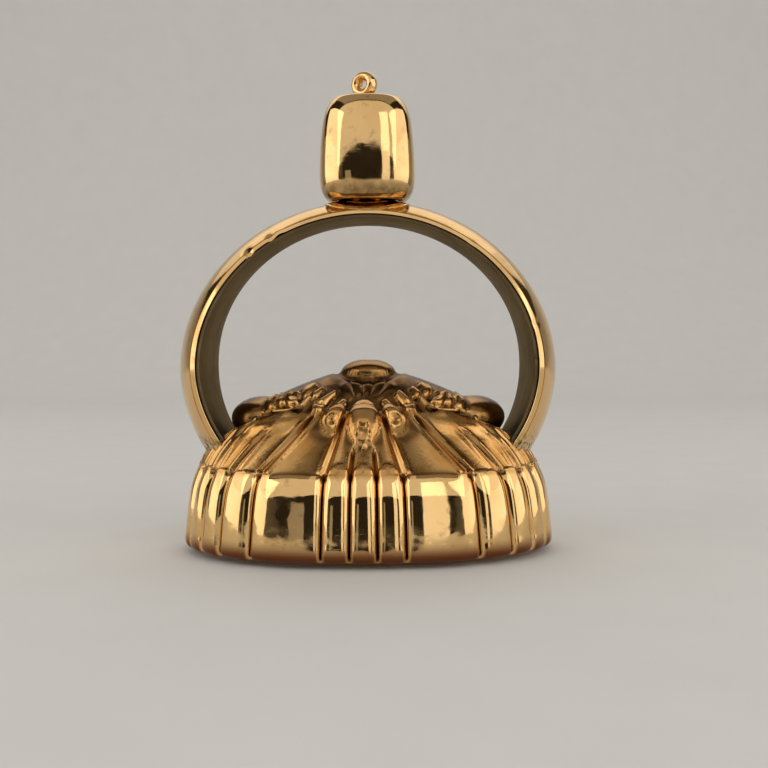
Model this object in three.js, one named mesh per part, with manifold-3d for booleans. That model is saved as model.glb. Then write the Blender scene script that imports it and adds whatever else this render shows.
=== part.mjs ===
// Gold fob seal: an oval stone seal under a fluted, scroll-topped cap, carried by a
// hollow arch handle with a knop and a small swivelling eye. Millimetres, +Z up the
// seal's axis, the stone's flat face on z = 0, the photographed side facing -Y.
import * as THREE from 'three';
import { mergeVertices } from 'three/addons/utils/BufferGeometryUtils.js';
import Module from 'manifold-3d';

const wasm = await Module();
wasm.setup();

// Clearances between separate pieces.
const seat = 0.06;
const running = 0.08;

// Cap: skirt half-widths a (along X) and b (along Y), wall and heights.
const skirt = { a: 12.57, b: 8.2 };
const skirtBottom = 0.36;
const domeTop = 12.42;
const bossRise = 0.64;
const capWall = 0.74;
const planRoundness = 2.15;
const fluteDepth = 0.38;
const panelSwell = 0.14;

// Flutes of one quarter, as degrees round the plan from the seal's end to its front.
const fluteAngles = [7, 20, 31.3, 42.5, 55.9, 79, 86.7];
const fluteHalfWidth = (angle) => 2.1 - 0.7 * Math.sin(THREE.MathUtils.degToRad(angle));

// Hollow of the cap, and the stone in its setting that closes it from below.
const hollow = { a: skirt.a - capWall, b: skirt.b - capWall, top: domeTop - capWall };
const flange = { low: 0.42, high: 0.8, reach: 1.22, slack: 0.14 };
const stone = {
  a: hollow.a - flange.reach - flange.slack,
  b: hollow.b - flange.reach - flange.slack,
  top: 2.2,
  bevelWidth: 0.5,
  bevelHeight: 0.5,
};
const bezelWall = 0.42;
const bezelBottom = 0.12;
const lipReach = 0.2;
const lipHeight = 0.2;
const plateThickness = 0.4;
const plateSlack = 0.2;
const fillerSlack = 0.14;

// Arch handle: its inner face is an ellipse, taller above its widest level than below.
const archInset = 1.57;
const archAboveSkirt = 6.879;
const creaseShare = 0.4605;
const arch = {
  halfWidth: skirt.a - archInset,
  centreZ: domeTop * creaseShare + archAboveSkirt,
  rise: 9.92,
  drop: 9.72,
  bandSide: 8.0,
  bandTop: 4.4,
  bandFoot: 6.0,
  footAngle: -42,
  liner: 0.2,
  sheet: 0.42,
  edgeSide: 0.66,
  edgeTop: 0.52,
  crownSide: 1.27,
  crownTop: 0.9,
  stations: 46,
};
const archTopInside = arch.centreZ + arch.rise;
const archTopOutside = archTopInside + arch.edgeTop + arch.crownTop;

// Collar between the arch and the knop, its heights measured from the arch's top.
const collar = {
  a: 2.98,
  b: 2.25,
  low: archTopOutside - 0.72,
  brim: archTopOutside - 0.16,
  neck: archTopOutside + 0.01,
  top: archTopOutside + 0.22,
};

// Knop: half-widths and heights above its foot, squarish oval in plan.
const knopFoot = collar.top + seat;
const knopOutline = [
  [2.2, 0], [2.45, 0.08], [2.88, 0.4], [3.18, 0.83], [3.28, 1.38], [3.26, 2.4],
  [3.19, 3.7], [3.06, 4.9], [2.86, 5.75], [2.52, 6.4], [2.1, 6.68], [1.0, 6.8],
];
const knopDimple = knopFoot + 6.7;
const knopDepthRatio = 0.82;
const knopRoundness = 2.5;
const knopWall = 0.36;
const rivetRadius = 0.6;
const rivetHeadRadius = 1.0;
const rivetHeadHeight = 0.28;

// Suspension eye: an upright ring on a stem that turns inside the knop.
const eye = { x: -0.18, ring: 0.6, wire: 0.33, depth: 1.4, stem: 0.3, peen: 0.52, turn: 24 };
const eyeZ = knopDimple + eye.ring + 1.2 * eye.wire;
const washer = { radius: 0.85, thickness: 0.22 };
const peenHeight = 0.25;

const sign = Math.sign;
const rad = THREE.MathUtils.degToRad;

// One point of an oval outline; roundness 2 is an ellipse, more is squarer.
function planPoint(a, b, roundness, t) {
  const c = Math.cos(t);
  const s = Math.sin(t);
  return [
    a * sign(c) * Math.abs(c) ** (2 / roundness),
    b * sign(s) * Math.abs(s) ** (2 / roundness),
  ];
}

// Outward direction of that outline at the same point.
function planNormal(a, b, roundness, t) {
  const [x, y] = planPoint(a, b, roundness, t);
  const nx = sign(x) * (Math.abs(x) / a) ** (roundness - 1) / a;
  const ny = sign(y) * (Math.abs(y) / b) ** (roundness - 1) / b;
  const length = Math.hypot(nx, ny);
  return [nx / length, ny / length];
}

const evenAngles = (count) => Array.from({ length: count }, (_, i) => (2 * Math.PI * i) / count);

function planRing(a, b, z, angles, roundness = planRoundness) {
  return angles.map((t) => [...planPoint(a, b, roundness, t), z]);
}

// Skins a list of rings in order. A start or end point closes that end as a fan;
// without them the last ring joins the first.
function skin(rings, startPoint, endPoint) {
  const count = rings[0].length;
  const points = rings.flat();
  const faces = [];
  const joined = startPoint ? rings.length - 1 : rings.length;
  for (let j = 0; j < joined; j += 1) {
    const low = j * count;
    const high = ((j + 1) % rings.length) * count;
    for (let i = 0; i < count; i += 1) {
      const next = (i + 1) % count;
      faces.push(low + i, low + next, high + next, low + i, high + next, high + i);
    }
  }
  if (startPoint) {
    const start = points.push(startPoint) - 1;
    const end = points.push(endPoint) - 1;
    const last = (rings.length - 1) * count;
    for (let i = 0; i < count; i += 1) {
      const next = (i + 1) % count;
      faces.push(start, next, i, end, last + i, last + next);
    }
  }
  return toGeometry(points, faces);
}

function toGeometry(points, faces) {
  const geometry = new THREE.BufferGeometry();
  geometry.setAttribute('position', new THREE.Float32BufferAttribute(points.flat(), 3));
  geometry.setIndex(faces);
  return geometry;
}

function toSolid(geometry) {
  const bare = new THREE.BufferGeometry();
  bare.setAttribute('position', geometry.getAttribute('position').clone());
  if (geometry.index) bare.setIndex(geometry.index.clone());
  const merged = mergeVertices(bare, 1e-4);
  return new wasm.Manifold(new wasm.Mesh({
    numProp: 3,
    vertProperties: new Float32Array(merged.getAttribute('position').array),
    triVerts: new Uint32Array(merged.index.array),
  }));
}

function fromSolid(solid) {
  const mesh = solid.getMesh();
  const geometry = new THREE.BufferGeometry();
  const stride = mesh.numProp;
  const count = mesh.vertProperties.length / stride;
  const positions = new Float32Array(count * 3);
  for (let i = 0; i < count; i += 1) {
    for (let k = 0; k < 3; k += 1) positions[3 * i + k] = mesh.vertProperties[stride * i + k];
  }
  geometry.setAttribute('position', new THREE.BufferAttribute(positions, 3));
  geometry.setIndex([...mesh.triVerts]);
  return geometry;
}

// Upright rod of given radius between two heights.
function rod(radius, low, high, segments = 20, x = 0) {
  const geometry = new THREE.CylinderGeometry(radius, radius, high - low, segments);
  geometry.rotateX(Math.PI / 2);
  geometry.translate(x, 0, (low + high) / 2);
  return geometry;
}

// Rounded relief form, leaning about X and about Y, in degrees.
function lobe(centre, radii, leanX = 0, leanY = 0, around = 10, down = 7) {
  const geometry = new THREE.SphereGeometry(1, around, down);
  geometry.rotateX(Math.PI / 2);
  geometry.scale(...radii);
  geometry.rotateX(rad(leanX));
  geometry.rotateY(rad(leanY));
  geometry.translate(...centre);
  return toSolid(geometry);
}

// Angles round the cap: each flute has two edges and a bottom, each panel a middle, and
// the wide panel three places across it.
function capAngles() {
  const quarter = [{ t: 0, dip: -1 }];
  fluteAngles.forEach((angle, i) => {
    const half = fluteHalfWidth(angle);
    quarter.push({ t: angle - half, dip: 0 }, { t: angle, dip: 1 }, { t: angle + half, dip: 0 });
    const next = fluteAngles[i + 1];
    if (next) {
      const from = angle + half;
      const to = next - fluteHalfWidth(next);
      const steps = to - from > 15 ? 4 : 2;
      for (let k = 1; k < steps; k += 1) {
        quarter.push({ t: from + ((to - from) * k) / steps, dip: steps === 4 && k !== 2 ? -0.8 : -1 });
      }
    }
  });
  quarter.push({ t: 90, dip: -0.5 });
  const full = new Map();
  quarter.forEach(({ t, dip }) => {
    [t, 180 - t, 180 + t, 360 - t].forEach((angle) => full.set(angle % 360, { t, dip }));
  });
  return [...full].sort((p, q) => p[0] - q[0])
    .map(([angle, { t, dip }]) => ({ t: rad(angle), folded: t, dip }));
}
const capSpokes = capAngles();

// Value at x of a table of [x, value] pairs.
function lookUp(table, x) {
  const high = table.findIndex(([at]) => at >= x);
  if (high < 1) return table[high < 0 ? table.length - 1 : 0][1];
  const [x0, y0] = table[high - 1];
  const [x1, y1] = table[high];
  return y0 + ((y1 - y0) * (x - x0)) / (x1 - x0);
}

// Skirt of the cap from its lower rim to the crease, as shares of the skirt's half-widths
// and of the dome's height. Flute is the share of the full flute depth.
const skirtRows = [
  { a: 0.979, b: 0.967, z: skirtBottom / domeTop, flute: 0.35 },
  { a: 0.995, b: 0.992, z: 0.05, flute: 0.6 },
  { a: 1, b: 1, z: 0.093, flute: 0.9 },
  { a: 0.995, b: 0.993, z: 0.178, flute: 1 },
  { a: 0.985, b: 0.977, z: 0.262, flute: 1 },
  { a: 0.967, b: 0.949, z: 0.358, flute: 1 },
  { a: 0.948, b: 0.921, z: 0.416, flute: 0.9 },
  { a: 0.925, b: 0.885, z: creaseShare, flute: 0.8 },
];

// Ledge that the shoulder rises to, by the same shares. A spoke at an angle round the
// skirt meets the ledge further round, and the ledge climbs towards the front.
const ledge = { a: 0.7876, b: 0.5854, roundness: 2.3 };
const ledgeTurns = [[0, 0], [7, 19.6], [20, 36.4], [31.3, 46], [42.5, 61], [55.9, 74.7],
  [67, 79.8], [79, 84.9], [86.7, 88.7], [90, 90]];
const ledgeHeights = [[0, 0.588], [19.6, 0.64], [36.4, 0.7], [46, 0.734], [61, 0.761],
  [74.7, 0.773], [85, 0.765], [90, 0.761]];

// Shoulder between them: rows as shares of the way up, its bulge at the ends, the depth
// of each panel's hollow by angle, and how much of the hollow and the flute each row has.
const shoulderRows = [
  { up: 0.05, dish: 1, flute: 1 },
  { up: 0.3, dish: 1, flute: 0.85 },
  { up: 0.58, dish: 1, flute: 0.75 },
  { up: 0.82, dish: 0.45, flute: 0.6 },
  { up: 1, dish: 0, flute: 0.3 },
];
const shoulderBulge = [[0, 0.42], [30, 0.4], [44, 0.16], [58, 0], [90, 0]];
const dishDepths = [[0, 0.16], [55.8, 0.16], [56, 0.42], [78.9, 0.42], [79.1, 0.12], [90, 0.12]];
const ribDepth = 0.28;

// Recess behind the ledge and the dome above it: half-widths and heights by the same
// shares, a height at the ends and one at the front.
const recess = { inset: 0.039, drop: 0.024, fade: [[0, 1], [66, 1], [75, 0], [90, 0]] };
const domeRows = [
  { a: 0.736, b: 0.502, end: 0.624, front: 0.785 },
  { a: 0.708, b: 0.456, end: 0.692, front: 0.813 },
  { a: 0.652, b: 0.409, end: 0.757, front: 0.845 },
  { a: 0.565, b: 0.36, end: 0.817, front: 0.874 },
  { a: 0.461, b: 0.305, end: 0.87, front: 0.902 },
  { a: 0.358, b: 0.256, end: 0.914, front: 0.926 },
  { a: 0.255, b: 0.201, end: 0.952, front: 0.952 },
  { a: 0.13, b: 0.1, end: 0.985, front: 0.982 },
];

// A place at the given angle on an oval round the cap, seen from the spoke's own quarter.
function aroundCap(a, b, roundness, degrees, t, z) {
  const [x, y] = planPoint(a * skirt.a, b * skirt.b, roundness, rad(degrees));
  return [x * sign(Math.round(Math.cos(t) * 1e6)), y * sign(Math.round(Math.sin(t) * 1e6)), z * domeTop];
}

const between = (p, q, share) => p.map((value, k) => value + (q[k] - value) * share);

// Rings of the cap's outside before its relief, each with how far every spoke stands
// out from it along the surface's normal.
function capRings() {
  const rings = [];
  const add = (place, proud) => rings.push(capSpokes.map((spoke) => (
    { at: place(spoke), proud: proud(spoke) }
  )));
  skirtRows.forEach(({ a, b, z, flute }) => add(
    ({ t }) => [...planPoint(a * skirt.a, b * skirt.b, planRoundness, t), z * domeTop],
    ({ dip }) => -flute * (dip > 0 ? dip * fluteDepth : dip * panelSwell),
  ));
  const crest = ({ t }) => {
    const { a, b } = skirtRows[skirtRows.length - 1];
    return [...planPoint(a * skirt.a, b * skirt.b, planRoundness, t), creaseShare * domeTop];
  };
  const turnOf = ({ folded }) => lookUp(ledgeTurns, folded);
  const onLedge = (spoke, inset = 0, drop = 0) => {
    const turn = turnOf(spoke);
    const { a, b, roundness } = ledge;
    return aroundCap(a - inset, b - inset, roundness, turn, spoke.t, lookUp(ledgeHeights, turn) - drop);
  };
  shoulderRows.forEach(({ up, dish, flute }) => add(
    (spoke) => between(crest(spoke), onLedge(spoke), up),
    ({ folded, dip }) => lookUp(shoulderBulge, folded) * 4 * up * (1 - up)
      - (dip > 0 ? flute * ribDepth : -dip * dish * lookUp(dishDepths, folded)),
  ));
  add(
    (spoke) => onLedge(spoke, recess.inset, recess.drop * lookUp(recess.fade, turnOf(spoke))),
    () => 0,
  );
  domeRows.forEach(({ a, b, end, front }) => add(
    (spoke) => {
      const turn = turnOf(spoke);
      const rise = Math.sin(rad(turn)) ** 2.5;
      return aroundCap(a, b, 2.1, turn, spoke.t, end + (front - end) * rise);
    },
    () => 0,
  ));
  return rings;
}

// The filled shape of the cap, larger all round by the amount given.
function capBlank(grow) {
  const rings = capRings();
  const count = capSpokes.length;
  const at = (j, i) => new THREE.Vector3(
    ...rings[Math.min(Math.max(j, 0), rings.length - 1)][(i + count) % count].at,
  );
  const rows = rings.map((ring, j) => ring.map(({ proud }, i) => {
    const along = at(j, i + 1).sub(at(j, i - 1));
    const up = at(j + 1, i).sub(at(j - 1, i));
    const normal = along.cross(up).normalize();
    return at(j, i).addScaledVector(normal, proud + grow).toArray();
  }));
  const { z } = skirtRows[0];
  return toSolid(skin(rows, [0, 0, z * domeTop], [0, 0, domeTop + grow]));
}

// Hollow of the cap from its top down to the rim, as shares of its own sizes.
const hollowRows = [
  { a: 0.2, b: 0.134, z: 0.985, roundness: 2 },
  { a: 0.4, b: 0.24, z: 0.9, roundness: 2.2 },
  { a: 0.63, b: 0.38, z: 0.75, roundness: 2.4 },
  { a: 0.78, b: 0.6, z: 0.6, roundness: 2.3 },
  { a: 0.89, b: 0.8, z: 0.47, roundness: 2.2 },
  { a: 0.942, b: 0.905, z: 0.396, roundness: planRoundness },
  { a: 0.985, b: 0.975, z: 0.264, roundness: planRoundness },
  { a: 1, b: 1, z: 0.107, roundness: planRoundness },
  { a: 0.996, b: 0.993, z: 0.02, roundness: planRoundness },
];

// Scroll ornament of one quarter: centres as shares of the cap's half-widths and height,
// radii in millimetres, leans about X and Y in degrees.
const scrolls = [
  { at: [0.161, 0.548, 0.737], radii: [0.66, 0.62, 1.15], leans: [33, 30] },
  { at: [0.223, 0.38, 0.806], radii: [0.44, 0.6, 0.9], leans: [42, 44] },
  { at: [0.286, 0.235, 0.873], radii: [0.42, 0.7, 0.72], leans: [50, 26] },
  { at: [0.368, 0.28, 0.818], radii: [0.62, 0.8, 0.62], leans: [30, 0] },
  { at: [0.462, 0.225, 0.802], radii: [0.66, 0.8, 0.62], leans: [30, 10] },
  { at: [0.545, 0.2, 0.768], radii: [0.45, 0.7, 0.62], leans: [30, 40] },
];
const tongue = { at: [0, 0.583, 0.7], radii: [0.92, 0.8, 1.85], lean: 41 };
const endLump = { at: [0.6205, 0, 0.7287], radii: [1.7, 2.6, 1.5] };
const boss = { radii: [1.98, 1.85, 1.06] };

// A place on the cap, given by shares, on the side and face asked for.
const onCap = ([x, y, z], side, front) => [x * side * skirt.a, -y * front * skirt.b, z * domeTop];

function buildCap() {
  const bossZ = domeTop + bossRise - boss.radii[2];
  const relief = [lobe([0, 0, bossZ], boss.radii, 0, 0, 14, 6)];
  for (const front of [1, -1]) {
    relief.push(lobe(onCap(tongue.at, 0, front), tongue.radii, -tongue.lean * front, 0, 8, 8));
    for (const side of [1, -1]) {
      scrolls.forEach(({ at, radii, leans: [leanX, leanY] }) => {
        relief.push(lobe(onCap(at, side, front), radii, -leanX * front, leanY * side, 8, 5));
      });
    }
  }
  for (const side of [1, -1]) relief.push(lobe(onCap(endLump.at, side, 1), endLump.radii, 0, 0, 12, 8));
  const inner = hollowRings([...hollowRows].reverse(), 0, 44);
  const cavity = toSolid(skin(inner, [0, 0, inner[0][0][2]], [0, 0, hollow.top]));
  return relief.reduce((body, form) => body.add(form), capBlank(0)).subtract(cavity);
}

// Rings of the hollow, drawn in by the slack given.
function hollowRings(rows, slack, count) {
  return rows.map(({ a, b, z, roundness }) => (
    planRing(
      a * hollow.a - slack,
      b * hollow.b - slack,
      z * hollow.top - slack,
      evenAngles(count),
      roundness,
    )
  ));
}

// Frame of the arch at an angle: inner-face point, outward direction, band width.
function archStation(angle) {
  const c = Math.cos(angle);
  const s = Math.sin(angle);
  const height = s > 0 ? arch.rise : arch.drop;
  const nx = c / arch.halfWidth;
  const nz = s / height;
  const length = Math.hypot(nx, nz);
  const up = Math.max(s, 0);
  const down = Math.max(-s, 0) / Math.sin(-rad(arch.footAngle));
  return {
    x: arch.halfWidth * c,
    z: arch.centreZ + height * s,
    nx: nx / length,
    nz: nz / length,
    width: arch.bandSide + (arch.bandTop - arch.bandSide) * up + (arch.bandFoot - arch.bandSide) * down,
    edge: arch.edgeSide + (arch.edgeTop - arch.edgeSide) * up,
    crown: arch.crownSide + (arch.crownTop - arch.crownSide) * up,
  };
}

// Sweeps a cross-section, given as points [out, across], along the arch.
function sweepArch(section) {
  const points = [];
  const faces = [];
  const first = rad(arch.footAngle);
  const sweep = Math.PI - 2 * first;
  let count = 0;
  let outline = [];
  for (let k = 0; k <= arch.stations; k += 1) {
    const station = archStation(first + (sweep * k) / arch.stations);
    outline = section(station);
    count = outline.length;
    outline.forEach(([out, across]) => {
      points.push([station.x + station.nx * out, across, station.z + station.nz * out]);
    });
  }
  for (let k = 0; k < arch.stations; k += 1) {
    for (let i = 0; i < count; i += 1) {
      const next = (i + 1) % count;
      const low = k * count;
      const high = low + count;
      faces.push(low + i, low + next, high + next, low + i, high + next, high + i);
    }
  }
  const last = arch.stations * count;
  const flat = outline.map(([out, across]) => new THREE.Vector2(out, across));
  THREE.ShapeUtils.triangulateShape(flat, []).forEach(([p, q, r]) => {
    faces.push(p, r, q, last + p, last + q, last + r);
  });
  return toGeometry(points, faces);
}

const acrossSteps = [-1, -0.75, -0.4, 0, 0.4, 0.75, 1];

// Half-round shell: outer curve from front to back, then the hollow side back again.
function shellSection({ width, edge, crown }) {
  const outer = acrossSteps.map((u) => [edge + crown * (1 - u * u), (u * width) / 2]);
  const foot = arch.liner + seat;
  const hollow = edge + crown - arch.sheet - foot;
  const inner = [...acrossSteps].reverse().map((u) => (
    [foot + hollow * (1 - u * u) ** 0.7, u * (width / 2 - arch.sheet)]
  ));
  return [...outer, [foot, width / 2], ...inner, [foot, -width / 2]];
}

function linerSection({ width }) {
  const half = width / 2 - running;
  return [[arch.liner, -half], [arch.liner, half], [0, half], [0, -half]];
}

// The arch filled in and a little larger, to trim the collar to its saddle.
function grownArchSection({ width, edge, crown }) {
  const outer = acrossSteps.map((u) => [edge + crown * (1 - u * u) + seat, u * (width / 2 + seat)]);
  return [...outer, [-1, width / 2 + seat], [-1, -width / 2 - seat]];
}

function outwards(geometry) {
  const solid = toSolid(geometry);
  return solid.volume() > 0 ? geometry : flipped(geometry);
}

function flipped(geometry) {
  const index = [...geometry.index.array];
  for (let i = 0; i < index.length; i += 3) [index[i], index[i + 1]] = [index[i + 1], index[i]];
  geometry.setIndex(index);
  return geometry;
}

function buildHandleShell(cap) {
  const hole = toSolid(rod(rivetRadius + seat, archTopInside + arch.liner, archTopOutside + 1));
  return toSolid(outwards(sweepArch(shellSection))).subtract(cap).subtract(hole);
}

function buildHandleLiner(cap) {
  return toSolid(outwards(sweepArch(linerSection))).subtract(cap);
}

// Collar: a thin flared foot whose underside follows the arch.
function buildCollar() {
  const angles = evenAngles(36);
  const { low, brim, neck, top } = collar;
  const rows = [[1, low], [1, brim - 0.1], [0.97, brim], [0.82, neck], [0.74, top]];
  const rings = rows.map(([share, z]) => planRing(collar.a * share, collar.b * share, z, angles, 2.1));
  const blank = toSolid(skin(rings, [0, 0, low], [0, 0, top]));
  const saddle = toSolid(outwards(sweepArch(grownArchSection)));
  const hole = toSolid(rod(rivetRadius + seat, archTopInside - 1, top + 1));
  return blank.subtract(saddle).subtract(hole);
}

// Knop: hollow, open below for its rivet and above for the eye's stem.
function buildKnop() {
  const angles = evenAngles(36);
  const ring = (a, z) => planRing(a, a * knopDepthRatio, z, angles, knopRoundness);
  const circle = (radius, z, x = 0) => (
    angles.map((t) => [x + radius * Math.cos(t), radius * Math.sin(t), z])
  );
  const bottom = knopFoot;
  const top = knopDimple;
  const stemHole = eye.stem + running;
  const inner = knopOutline.filter((_, i) => i > 1 && i % 2 === 0).reverse()
    .map(([a, z]) => ring(a - knopWall, Math.min(knopFoot + z + 0.15, top - knopWall)));
  const rings = [
    circle(stemHole, top, eye.x),
    circle(stemHole, top - knopWall, eye.x),
    ...inner,
    circle(rivetRadius + seat, bottom + knopWall),
    circle(rivetRadius + seat, bottom),
    ...knopOutline.map(([a, z]) => ring(a, knopFoot + z)),
  ];
  return skin(rings);
}

// Rivet that holds the knop and collar to the arch, a head at each end.
function buildRivet() {
  const underHead = archTopInside + arch.liner + running;
  const overHead = knopFoot + knopWall + seat;
  const shank = toSolid(rod(rivetRadius, underHead + 0.1, overHead + 0.1));
  const lower = toSolid(rod(rivetHeadRadius, underHead, underHead + rivetHeadHeight, 20));
  const upper = toSolid(rod(rivetHeadRadius, overHead, overHead + rivetHeadHeight, 20));
  return shank.add(lower).add(upper);
}

// Heights of the eye's stem inside the knop.
const washerTop = knopDimple - knopWall - seat;
const washerLow = washerTop - washer.thickness;
const peenTop = washerLow - seat;

function buildEye() {
  const ring = new THREE.TorusGeometry(eye.ring, eye.wire, 10, 24);
  ring.rotateX(Math.PI / 2);
  ring.scale(1, eye.depth, 1);
  ring.rotateZ(rad(eye.turn));
  ring.translate(eye.x, 0, eyeZ);
  const stem = toSolid(rod(eye.stem, peenTop - 0.1, eyeZ - eye.ring, 16, eye.x));
  const peen = toSolid(rod(eye.peen, peenTop - peenHeight, peenTop, 16, eye.x));
  return toSolid(ring).add(stem).add(peen);
}

function buildEyeWasher() {
  const disc = toSolid(rod(washer.radius, washerLow, washerTop, 20, eye.x));
  return disc.subtract(toSolid(rod(eye.stem + seat, washerLow - 1, washerTop + 1, 16, eye.x)));
}

// Stone, setting, backing plate and the filling behind it.
function buildStone() {
  const angles = evenAngles(56);
  const { a, b, top, bevelWidth, bevelHeight } = stone;
  const rings = [
    planRing(a - bevelWidth, b - bevelWidth, 0, angles),
    planRing(a, b, bevelHeight, angles),
    planRing(a, b, top, angles),
  ];
  return skin(rings, [0, 0, 0], [0, 0, top]);
}

function buildBezel() {
  const wall = seat + bezelWall;
  const lip = seat - lipReach;
  const under = stone.top + seat;
  const outline = [
    [seat, under], [seat, stone.bevelHeight - 0.02], [lip, bezelBottom + lipHeight],
    [lip, bezelBottom], [wall, bezelBottom], [wall, flange.low],
    [flange.reach, flange.low], [flange.reach, flange.high], [wall, flange.high], [wall, under],
  ];
  return skin(outline.map(([out, z]) => planRing(stone.a + out, stone.b + out, z, evenAngles(48))));
}

const plateLow = stone.top + 2 * seat;
const plateTop = plateLow + plateThickness;
const plateRing = (z, count) => (
  planRing(hollow.a - plateSlack, hollow.b - plateSlack, z, evenAngles(count))
);

function buildPlate() {
  return skin([plateRing(plateLow, 48), plateRing(plateTop, 48)], [0, 0, plateLow], [0, 0, plateTop]);
}

function buildFiller() {
  const foot = plateTop + seat;
  const rows = [...hollowRows].reverse().filter(({ z }) => z * hollow.top > plateTop + 0.3);
  const rings = [plateRing(foot, 40), ...hollowRings(rows, fillerSlack, 40)];
  return skin(rings, [0, 0, foot], [0, 0, hollow.top - 2 * fillerSlack]);
}

const finish = (color, roughness, metalness) => (
  new THREE.MeshStandardMaterial({ color, roughness, metalness })
);
const gold = () => finish(0xd9a566, 0.2, 1);

const seal = new THREE.Group();
function addPiece(name, shape, material) {
  const geometry = shape.isBufferGeometry ? shape : fromSolid(shape);
  geometry.computeVertexNormals();
  const mesh = new THREE.Mesh(geometry, material);
  mesh.name = name;
  seal.add(mesh);
}

const cap = capBlank(seat);
addPiece('seal_stone', buildStone(), finish(0x7a1d0c, 0.12, 0));
addPiece('stone_bezel', buildBezel(), gold());
addPiece('back_plate', buildPlate(), finish(0xc09050, 0.4, 1));
addPiece('filler_core', buildFiller(), finish(0x2a1c14, 0.8, 0));
addPiece('cap_shell', buildCap(), gold());
addPiece('handle_shell', buildHandleShell(cap), gold());
addPiece('handle_liner', buildHandleLiner(cap), finish(0xb98850, 0.3, 1));
addPiece('knop_collar', buildCollar(), gold());
addPiece('knop_shell', buildKnop(), gold());
addPiece('knop_rivet', buildRivet(), finish(0xb98850, 0.35, 1));
addPiece('suspension_eye', buildEye(), gold());
addPiece('eye_washer', buildEyeWasher(), finish(0xb98850, 0.35, 1));

export default seal;
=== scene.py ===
"""Gold fob seal: the looks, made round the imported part.

Metres in Blender, millimetres in the shapes below. +Z runs up the seal's axis from the
stone's flat face at z = 0, +X across the arch, and -Y towards the photographed side.
"""

import math

import bpy
import numpy as np
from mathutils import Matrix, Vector


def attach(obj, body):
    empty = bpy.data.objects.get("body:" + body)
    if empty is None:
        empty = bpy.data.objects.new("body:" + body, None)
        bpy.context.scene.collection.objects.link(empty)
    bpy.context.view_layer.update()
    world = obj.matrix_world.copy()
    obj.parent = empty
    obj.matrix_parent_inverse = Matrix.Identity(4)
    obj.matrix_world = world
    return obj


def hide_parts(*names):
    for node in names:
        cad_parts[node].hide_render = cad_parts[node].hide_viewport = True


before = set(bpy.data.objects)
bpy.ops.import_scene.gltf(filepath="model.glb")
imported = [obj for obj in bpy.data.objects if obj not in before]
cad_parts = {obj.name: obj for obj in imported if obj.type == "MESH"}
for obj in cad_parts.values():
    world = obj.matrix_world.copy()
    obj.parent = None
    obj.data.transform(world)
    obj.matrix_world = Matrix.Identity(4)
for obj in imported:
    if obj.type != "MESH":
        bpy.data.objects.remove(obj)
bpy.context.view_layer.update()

MM = 0.001

# Sizes shared with the part, in millimetres. Angles round the cap are in degrees, folded
# into one quarter: 0 is the end of the oval and 90 the middle of its front or back.
SKIRT_A, SKIRT_B = 12.57, 8.2
PLAN_ROUNDNESS = 2.15
DOME_TOP = 12.85
WIDE_FROM, WIDE_TO = 55.9, 79  # the flutes beside the wide panel
FLUTES = np.array([7, 20, 31.3, 42.5, WIDE_FROM, WIDE_TO, 86.7])
ARCH_HALF, ARCH_CENTRE = 11.0, 12.598
ARCH_RISE, ARCH_DROP = 9.92, 9.72
ARCH_FOOT = math.radians(-42)
# The arch's section at its widest place, and how much less it is at the top or the feet.
BAND_WIDTH, BAND_LESS_AT_TOP, BAND_LESS_AT_FEET = 8.0, 3.6, 2.0
SHELL_EDGE, EDGE_LESS_AT_TOP = 0.66, 0.14
SHELL_CROWN, CROWN_LESS_AT_TOP = 1.27, 0.37
SHELL_ROUNDNESS = 2.1
SHELL_WALL = 0.42
LINER = 0.2
SEAM = 0.06
KNOP_FOOT = 24.218
# Half-width of the knop and height over its foot, from the neck to the top.
KNOP_OUTLINE = [
    (2.25, -0.4), (2.52, -0.33), (2.9, -0.06), (3.15, 0.4), (3.27, 1.1), (3.28, 1.8), (3.25, 2.7),
    (3.19, 3.7), (3.06, 4.9), (2.86, 5.75), (2.52, 6.4), (2.1, 6.68), (1.0, 6.8),
]
KNOP_TOP = 6.8
KNOP_DEPTH = 0.82
KNOP_ROUNDNESS = 2.5
EYE_X, EYE_Z, EYE_RING, EYE_WIRE = -0.18, 31.914, 0.6, 0.33
EYE_DEPTH, EYE_TURN = 1.4, math.radians(-29)
STONE_A, STONE_B, STONE_TOP = 10.47, 6.1, 2.2

MERGE_WITHIN = 1e-7  # metres


# ---- shapes ----

def oval(a, b, roundness, t):
    """Points of an oval at angles t; roundness 2 is an ellipse and more is squarer."""
    c, s = np.cos(t), np.sin(t)
    return (a * np.sign(c) * np.abs(c) ** (2 / roundness),
            b * np.sign(s) * np.abs(s) ** (2 / roundness))


def step(x, low, high):
    """0 below low, 1 above high, smooth between."""
    u = np.clip((x - low) / (high - low), 0, 1)
    return u * u * (3 - 2 * u)


def smooth_rows(rows, count, crowd=1.0):
    """The rows of a profile drawn through by a smooth curve, count rows in all; a crowd
    over 1 packs them closer at the start."""
    rows = np.asarray(rows, float)
    knots = np.arange(len(rows))
    slopes = np.gradient(rows, axis=0)
    at = np.linspace(0, 1, count) ** crowd * (len(rows) - 1)
    low = np.minimum(at.astype(int), len(rows) - 2)
    u = (at - knots[low])[:, None]
    p, q, m, n = rows[low], rows[low + 1], slopes[low], slopes[low + 1]
    return ((2 * u**3 - 3 * u**2 + 1) * p + (u**3 - 2 * u**2 + u) * m
            + (-2 * u**3 + 3 * u**2) * q + (u**3 - u**2) * n)


def even_angles(count):
    """Angles of count spokes in a full turn."""
    return np.arange(count) * 2 * math.pi / count


def ring_of(a, b, z, angles, roundness):
    x, y = oval(a, b, roundness, angles)
    return np.stack([x, y, np.full_like(x, z)], axis=1)


def point_ring(x, y, z, angles):
    """A ring drawn together to one point."""
    return np.tile([x, y, z], (len(angles), 1)).astype(float)


def set_mode(mode):
    bpy.ops.object.mode_set(mode=mode)


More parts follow.
